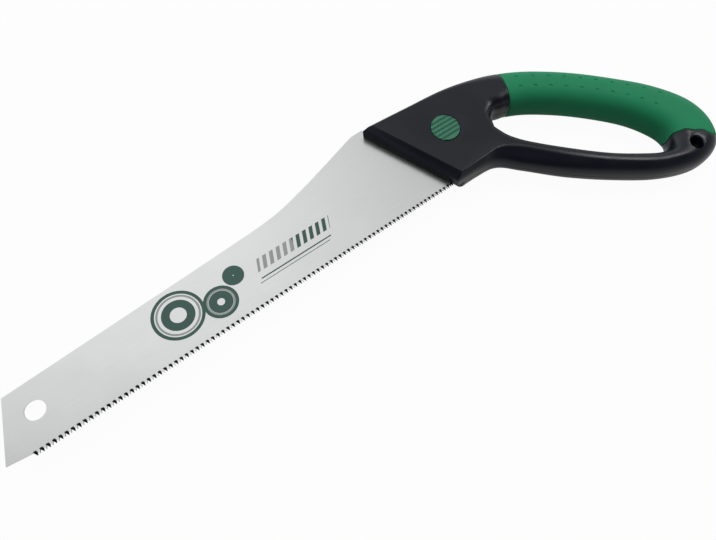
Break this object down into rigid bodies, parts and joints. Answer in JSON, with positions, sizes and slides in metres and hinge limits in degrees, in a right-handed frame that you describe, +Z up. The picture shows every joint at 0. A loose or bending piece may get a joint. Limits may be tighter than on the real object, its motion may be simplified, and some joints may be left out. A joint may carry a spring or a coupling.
{
  "type": "japanese saw",
  "caption": "Japanese pull saw with a thin removable steel blade, fine teeth, a closed D-handle with a soft grip and a round blade release button.",
  "frame": {"origin": "under the middle of the whole saw, on the plane through the grip's lowest line, with the saw lying on its side", "axes": "+X along the teeth from the blade's tip to the handle, +Y towards the back of the blade, +Z up through the handle to the side of the release button"},
  "size_m": [0.4514, 0.1496, 0.0251],
  "materials": {
    "blade_steel": "satin rolled spring steel with darker hardened teeth",
    "black_abs": "satin black moulded ABS",
    "green_grip": "soft green grip rubber with small dimples",
    "green_button": "ribbed green moulded plastic",
    "plated_steel": "zinc-plated steel",
    "spring_wire": "drawn spring wire"
  },
  "bodies": {
    "saw_body": {"blade": "blade_steel", "handle_shell_front": "black_abs", "handle_shell_back": "black_abs", "grip_sleeve": "green_grip", "button_spring": "spring_wire", "guide_plate_front": "plated_steel", "guide_plate_back": "plated_steel", "stop_pin_1": "plated_steel", "stop_pin_2": "plated_steel", "shell_screw_1": "plated_steel", "shell_screw_2": "plated_steel", "shell_screw_3": "plated_steel", "shell_screw_4": "plated_steel", "shell_screw_5": "plated_steel"},
    "button": {"release_button": "green_button", "lock_plunger": "plated_steel"}
  },
  "joints": [
    {"name": "release_button_press", "type": "slide", "parent": "saw_body", "child": "button", "axis": [0, 0, -1], "range_m": [0, 0.0022], "stiffness_N_per_m": 1500, "springref_m": -0.002, "deforming": ["button_spring"]}
  ]
}
